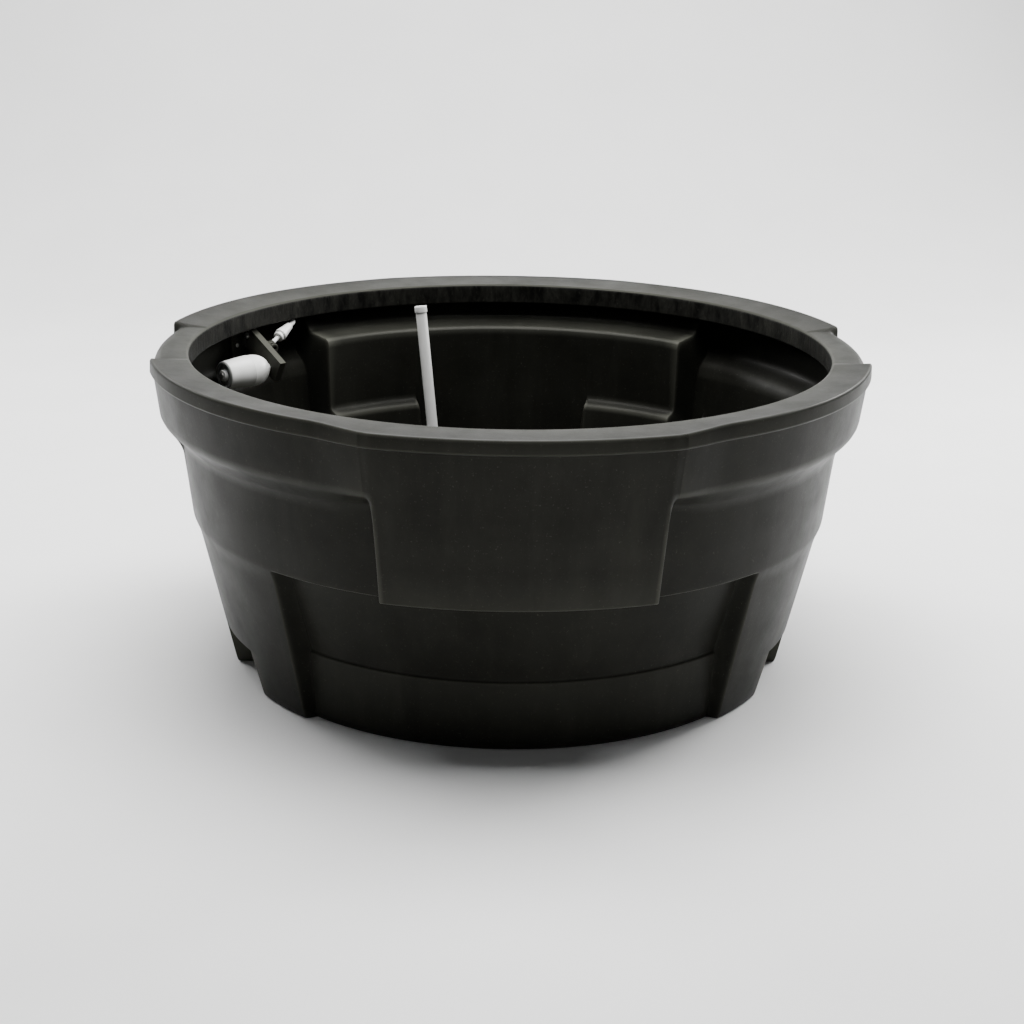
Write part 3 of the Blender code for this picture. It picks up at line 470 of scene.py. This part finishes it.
def build_pipe():
    """Overflow pipe with its push-on end ring, standing in the drain's socket."""
    place = frame_at(drain_place(), JOINTS["standpipe_lift"]["axis"], (1.0, 0.0, 0.0))
    lathed("standpipe", [(PIPE_RADIUS, PIPE_LENGTH - 0.004, 0.0004),
                         (PIPE_RADIUS, -0.0165, 0.0010), (PIPE_BORE, -0.0165, 0.0004),
                         (PIPE_BORE, PIPE_LENGTH - 0.004, 0.0004)], place)
    lathed("standpipe_collar", [(0.0131, PIPE_LENGTH, 0.0009),
                                (0.0132, PIPE_LENGTH - 0.0120, 0.0003),
                                (0.0126, PIPE_LENGTH - 0.0130, 0.0003),
                                (COLLAR_BORE, PIPE_LENGTH - 0.0130, 0.0),
                                (COLLAR_BORE, PIPE_LENGTH - 0.0037, 0.0),
                                (PIPE_BORE, PIPE_LENGTH - 0.0037, 0.0),
                                (PIPE_BORE, PIPE_LENGTH, 0.0006)], place)
    lathed("drain_body", [(0.0340, 0.0066, 0.0016), (0.0340, 0.0026, 0.0004),
                          (0.0235, 0.0026, 0.0), (0.0235, -0.0400, 0.0010),
                          (0.0129, -0.0400, 0.0005), (0.0129, -0.0215, 0.0),
                          (0.0185, -0.0215, 0.0), (0.0185, 0.0060, 0.0005),
                          (0.0205, 0.0066, 0.0005)], Matrix.Translation(drain_place()))


def build_float():
    """Blown barrel with a neck at the lever, a mould seam round its belly and a recessed end."""
    root = LEVER_HALF_WIDTH + GAP
    turn = Matrix.Rotation(math.radians(90.0), 4, "X")
    place = lever_place() @ Matrix.Translation((FLOAT_ALONG, -root, -FLOAT_BELOW)) @ turn
    tip = FLOAT_LENGTH
    belly = FLOAT_LENGTH * 0.47
    lathed("float", [(0.0105, tip + 0.0040, 0.0005), (0.0115, tip + 0.0036, 0.0005),
                     (0.0115, tip - 0.0050, 0.0), (0.0272, tip - 0.0050, 0.0),
                     (0.0274, tip - 0.0012, 0.0004), (0.0287, tip - 0.0014, 0.0008),
                     (0.0296, 0.092, 0.006), (0.0316, 0.072, 0.008),
                     (0.0325, belly + 0.0010, 0.0003), (0.0328, belly + 0.0005, 0.0002),
                     (0.0328, belly - 0.0005, 0.0002), (0.0325, belly - 0.0010, 0.0003),
                     (0.0316, 0.034, 0.006), (0.0291, 0.023, 0.005), (0.0245, 0.0145, 0.005),
                     (0.0190, 0.0085, 0.004), (0.0130, 0.0062, 0.002), (0.0102, 0.0058, 0.0012),
                     (0.0100, 0.0, 0.0004), (0.0043, 0.0, 0.0), (0.0043, tip + 0.0040, 0.0)],
           place, FLOAT_SIDES)
    lathed("float_ring", [(0.0256, tip + 0.0008, 0.0008), (0.0268, tip - 0.0008, 0.0006),
                          (0.0268, tip - 0.0047, 0.0), (0.0118, tip - 0.0047, 0.0),
                          (0.0118, tip - 0.0027, 0.0003), (0.0168, tip - 0.0027, 0.0004),
                          (0.0172, tip - 0.0016, 0.0005), (0.0186, tip - 0.0016, 0.0005),
                          (0.0190, tip - 0.0027, 0.0004), (0.0212, tip - 0.0027, 0.0006),
                          (0.0224, tip + 0.0006, 0.0008)], place, FLOAT_SIDES)


def build_inlet():
    """White inlet: a thin stem, a ring and a long tapered union, up to the supply tube."""
    start = level_place() @ Vector(INLET_START)
    place = frame_at(start, Vector(INLET_FAR) - start, (1.0, 0.0, 0.0))
    lathed("inlet_stem", [(0.0044, 0.0550, 0.0003), (0.0044, 0.0100, 0.0003),
                          (0.0028, 0.0100, 0.0), (0.0028, 0.0550, 0.0)], place, STEM_SIDES)
    lathed("inlet_union", [(0.0066, 0.0890, 0.0004), (0.0078, 0.0878, 0.0008),
                           (0.0129, 0.0502, 0.0010), (0.0124, 0.0488, 0.0004),
                           (0.0088, 0.0480, 0.0004), (0.0088, 0.0458, 0.0004),
                           (0.0108, 0.0450, 0.0006), (0.0108, 0.0402, 0.0006),
                           (0.0096, 0.0390, 0.0003), (0.0047, 0.0390, 0.0),
                           (0.0047, 0.0560, 0.0), (0.0035, 0.0560, 0.0),
                           (0.0035, 0.0690, 0.0), (0.0054, 0.0690, 0.0),
                           (0.0054, 0.0890, 0.0)], place, UNION_SIDES)


def build_fittings():
    build_pipe()
    build_float()
    build_inlet()
    for node, width in ROUNDED_NODES.items():
        refined(node, width)


# ---- materials ------------------------------------------------------------------------------------
class Finish:
    """A node material being wired up: object-space noises feeding one Principled shader."""

    def __init__(self, name):
        self.material = bpy.data.materials.new(name)
        self.material.use_nodes = True
        self.tree = self.material.node_tree
        self.shader = self.tree.nodes["Principled BSDF"]
        self.place = self.tree.nodes.new("ShaderNodeTexCoord").outputs["Object"]

    def link(self, source, target):
        self.tree.links.new(source, target)

    def noise(self, scale, detail=3.0, roughness=0.5, stretch=None):
        node = self.tree.nodes.new("ShaderNodeTexNoise")
        node.inputs["Scale"].default_value = scale
        node.inputs["Detail"].default_value = detail
        node.inputs["Roughness"].default_value = roughness
        place = self.place
        if stretch is not None:
            mapping = self.tree.nodes.new("ShaderNodeMapping")
            mapping.inputs["Scale"].default_value = stretch
            self.link(place, mapping.inputs["Vector"])
            place = mapping.outputs["Vector"]
        self.link(place, node.inputs["Vector"])
        return node.outputs["Fac"]

    def ramp(self, source, low, high, colour_low, colour_high):
        node = self.tree.nodes.new("ShaderNodeValToRGB")
        node.color_ramp.elements[0].position = low
        node.color_ramp.elements[1].position = high
        node.color_ramp.elements[0].color = colour_low
        node.color_ramp.elements[1].color = colour_high
        self.link(source, node.inputs["Fac"])
        return node.outputs["Color"]

    def grey_ramp(self, source, low, high, value_low, value_high):
        return self.ramp(source, low, high, (value_low,) * 3 + (1.0,), (value_high,) * 3 + (1.0,))

    def blend(self, share, one, two):
        node = self.tree.nodes.new("ShaderNodeMix")
        node.data_type = "RGBA"
        for value, socket in ((share, node.inputs["Factor"]), (one, node.inputs[6]),
                              (two, node.inputs[7])):
            if hasattr(value, "links"):
                self.link(value, socket)
            else:
                socket.default_value = value
        return node.outputs[2]

    def convex(self, low, high, most):
        """Zero on flat and hollow places, rising to most along the outer edges."""
        pointed = self.tree.nodes.new("ShaderNodeNewGeometry").outputs["Pointiness"]
        return self.grey_ramp(pointed, low, high, 0.0, most)

    def bumps(self, *layers):
        """Each layer is (height source, distance in metres, strength)."""
        normal = None
        for source, distance, strength in layers:
            node = self.tree.nodes.new("ShaderNodeBump")
            node.inputs["Distance"].default_value = distance
            node.inputs["Strength"].default_value = strength
            self.link(source, node.inputs["Height"])
            if normal is not None:
                self.link(normal, node.inputs["Normal"])
            normal = node.outputs["Normal"]
        self.link(normal, self.shader.inputs["Normal"])

    def set(self, name, value):
        if hasattr(value, "links"):
            self.link(value, self.shader.inputs[name])
        else:
            self.shader.inputs[name].default_value = value


def moulded_black():
    """Rotationally moulded polyethylene: near black with an olive cast, mottled and scuffed, its convex
    edges lightened partly as wear and partly as painted highlight.
    """
    finish = Finish("moulded_black")
    clouds = finish.noise(4.5, 5.0, 0.62)
    flecks = finish.noise(260.0, 2.0, 0.6)
    streaks = finish.noise(9.0, 5.0, 0.7, stretch=(1.0, 1.0, 0.18))
    tone = finish.ramp(clouds, 0.32, 0.72, olive(0.0085), olive(0.0165))
    worn = finish.blend(finish.grey_ramp(streaks, 0.50, 0.82, 0.0, 0.4), tone, olive(0.030))
    # convex edges lightened: partly rubbed wear, partly a painted highlight along the edges
    rubbed_and_highlit = finish.blend(finish.convex(0.505, 0.56, 0.60), worn, olive(0.086))
    dusty = finish.grey_ramp(flecks, 0.64, 0.80, 0.0, 0.5)
    finish.set("Base Color", finish.blend(dusty, rubbed_and_highlit, olive(0.070)))
    finish.set("Roughness", finish.grey_ramp(finish.noise(11.0, 6.0, 0.68), 0.28, 0.72,
                                             0.34, 0.48))
    finish.set("Specular IOR Level", 0.07)
    finish.set("Specular Tint", (1.0, 0.99, 0.93, 1.0))
    finish.bumps((finish.noise(6.0, 2.0), 0.005, 0.25), (finish.noise(70.0, 2.0), 0.0006, 0.15),
                 (finish.noise(340.0, 3.0), 0.0004, 0.28))
    return finish.material


def olive(value):
    """A dark grey with a slight olive cast."""
    return (value, value * 1.01, value * 0.83, 1.0)


def trimmed_edge():
    """The rim's inner face, where the opening was cut: dark, with upright knife marks."""
    finish = Finish("trimmed_edge")
    marks = finish.noise(38.0, 6.0, 0.72, stretch=(1.0, 1.0, 0.35))
    torn = finish.noise(150.0, 4.0, 0.7, stretch=(1.0, 1.0, 0.5))
    tone = finish.ramp(marks, 0.38, 0.74, (0.0030, 0.0030, 0.0025, 1.0),
                       (0.0300, 0.0300, 0.0250, 1.0))
    finish.set("Base Color", finish.blend(finish.grey_ramp(torn, 0.58, 0.80, 0.0, 0.5), tone,
                                          (0.060, 0.060, 0.050, 1.0)))
    finish.set("Roughness", finish.grey_ramp(marks, 0.3, 0.7, 0.50, 0.72))
    finish.set("Specular IOR Level", 0.12)
    finish.bumps((marks, 0.004, 0.5), (torn, 0.0012, 0.45))
    return finish.material


def plain_plastic(name, colour, dull, roughness):
    """Injection-moulded plastic with slight tone changes and a fine grain."""
    finish = Finish(name)
    tone = finish.noise(35.0, 3.0)
    finish.set("Base Color", finish.ramp(tone, 0.3, 0.7, (*dull, 1.0), (*colour, 1.0)))
    finish.set("Roughness", finish.grey_ramp(finish.noise(60.0, 4.0), 0.3, 0.7,
                                             roughness - 0.06, roughness + 0.08))
    finish.bumps((finish.noise(PLASTIC_GRAIN, 2.0), 0.0002, 0.18))
    return finish.material


def metal(name, colour, dull, roughness):
    """Plain metal with fine bands stacked along its Z."""
    finish = Finish(name)
    brushed = finish.noise(60.0, 4.0, 0.6, stretch=(1.0, 1.0, 14.0))
    finish.set("Base Color", finish.ramp(brushed, 0.3, 0.7, (*dull, 1.0), (*colour, 1.0)))
    finish.set("Metallic", 1.0)
    finish.set("Roughness", finish.grey_ramp(brushed, 0.3, 0.7, roughness, roughness + 0.15))
    finish.bumps((brushed, 0.0002, 0.2))
    return finish.material


def soft_rubber():
    finish = Finish("soft_rubber")
    tone = finish.noise(90.0, 4.0)
    finish.set("Base Color", finish.ramp(tone, 0.3, 0.7, (0.012, 0.012, 0.012, 1.0),
                                         (0.030, 0.030, 0.029, 1.0)))
    finish.set("Roughness", 0.75)
    finish.bumps((finish.noise(500.0, 2.0), 0.0003, 0.3))
    return finish.material


def assign(node, finish):
    """Give every face of a CAD node one finish."""
    mesh = NODES[node].data
    if not mesh.materials:
        mesh.materials.append(finish)
    for i in range(len(mesh.materials)):
        mesh.materials[i] = finish


# ---- stage ------------------------------------------------------------------------------------------
CAMERA_DISTANCE = 3.6     # from the centre of the rim's opening
CAMERA_ELEVATION = 12.7084
CAMERA_LENS = 66.72
SENSOR_WIDTH = 36.0
AIM_YAW = -0.123          # degrees off the line to the centre of the opening
AIM_PITCH = -5.02
AIM_ROLL = -0.868
AROUND = -2.0             # degrees the camera is swung about the trough's axis


def turn_about(vector, axis, degrees):
    return Matrix.Rotation(math.radians(degrees), 3, axis) @ vector


def place_camera():
    """Look at the rim's centre, then tip the view so that the trough sits in the frame."""
    lift = math.radians(CAMERA_ELEVATION)
    centre = Vector((0.0, 0.0, HEIGHT))
    place = Vector((0.0, -math.cos(lift), math.sin(lift))) * CAMERA_DISTANCE
    forward = Vector((0.0, math.cos(lift), -math.sin(lift)))
    right = Vector((1.0, 0.0, 0.0))
    up = right.cross(forward)
    forward, right = (turn_about(v, up, AIM_YAW) for v in (forward, right))
    forward, up = (turn_about(v, right, AIM_PITCH) for v in (forward, up))
    right, up = (turn_about(v, forward, AIM_ROLL) for v in (right, up))
    swing = Matrix.Rotation(math.radians(AROUND), 3, "Z")
    axes = Matrix((swing @ right, swing @ up, swing @ -forward)).transposed()
    data = bpy.data.cameras.new("camera")
    data.lens = CAMERA_LENS
    data.sensor_width = SENSOR_WIDTH
    camera = bpy.data.objects.new("camera", data)
    camera.matrix_world = Matrix.Translation(swing @ place + centre) @ axes.to_4x4()
    COLLECTION.objects.link(camera)
    bpy.context.scene.camera = camera


def area_light(name, place, target, size, power):
    data = bpy.data.lights.new(name, "AREA")
    data.shape = "RECTANGLE"
    data.size, data.size_y = size
    data.energy = power
    light = bpy.data.objects.new(name, data)
    light.location = place
    light.rotation_euler = (Vector(target) - Vector(place)).to_track_quat("-Z", "Y").to_euler()
    COLLECTION.objects.link(light)


def build_floor():
    """Pale floor that runs up into a backdrop behind the trough."""
    shape = bmesh.new()
    profile = [(-6.0, 0.0), (3.0, 0.0)]
    profile += [(3.0 + 2.0 * math.sin(t), 2.0 - 2.0 * math.cos(t))
                for t in (math.radians(a) for a in range(10, 91, 10))]
    profile.append((5.0, 7.0))
    rows = [[shape.verts.new((x, y, z - 0.0005)) for y, z in profile] for x in (-9.0, 9.0)]
    for i in range(len(profile) - 1):
        shape.faces.new((rows[0][i], rows[1][i], rows[1][i + 1], rows[0][i + 1]))
    floor = bpy.data.objects.new("floor", mesh_from(shape, "floor"))
    COLLECTION.objects.link(floor)
    pale = Finish("pale_floor")
    tone = pale.noise(3.0, 2.0)
    pale.set("Base Color", pale.ramp(tone, 0.3, 0.7, (0.86, 0.86, 0.855, 1.0),
                                     (0.89, 0.89, 0.885, 1.0)))
    pale.set("Roughness", 0.85)
    floor.data.materials.append(pale.material)


def build_lights():
    """A large overhead softbox, a light for the backdrop, two rear fills and a dim studio."""
    area_light("overhead", (0.0, 0.3, 4.0), (0.0, 0.2, 0.0), (3.4, 3.4), 420.0)
    area_light("backdrop", (0.0, 1.6, 4.6), (0.0, 5.0, 1.2), (6.0, 1.5), 150.0)
    area_light("rear_right", (3.2, 2.2, 2.4), (-0.4, 0.1, 0.4), (1.6, 1.4), 210.0)
    area_light("rear_left", (-3.2, 2.6, 2.4), (0.4, 0.1, 0.4), (1.4, 1.2), 90.0)
    world = bpy.data.worlds.new("studio")
    world.use_nodes = True
    world.node_tree.nodes["Background"].inputs["Color"].default_value = (0.98, 0.99, 1.0, 1.0)
    world.node_tree.nodes["Background"].inputs["Strength"].default_value = 0.10
    bpy.context.scene.world = world


# ---- build --------------------------------------------------------------------------------------------
FINISHES = {
    "black_plastic": moulded_black(),
    "white_plastic": plain_plastic("white_plastic", (0.86, 0.86, 0.84), (0.80, 0.80, 0.77), 0.34),
    "grey_plastic": plain_plastic("grey_plastic", (0.30, 0.31, 0.30), (0.24, 0.25, 0.24), 0.45),
    "rubber": soft_rubber(),
    "steel": metal("steel", (0.66, 0.66, 0.64), (0.50, 0.50, 0.49), 0.25),
    "brass": metal("brass", (0.74, 0.55, 0.24), (0.58, 0.42, 0.18), 0.28),
}
for entry in frame["record"]["subparts"]:
    assign(entry["node"], FINISHES[entry["material_slot"]])
build_tub()
build_fittings()
build_floor()
build_lights()
place_camera()
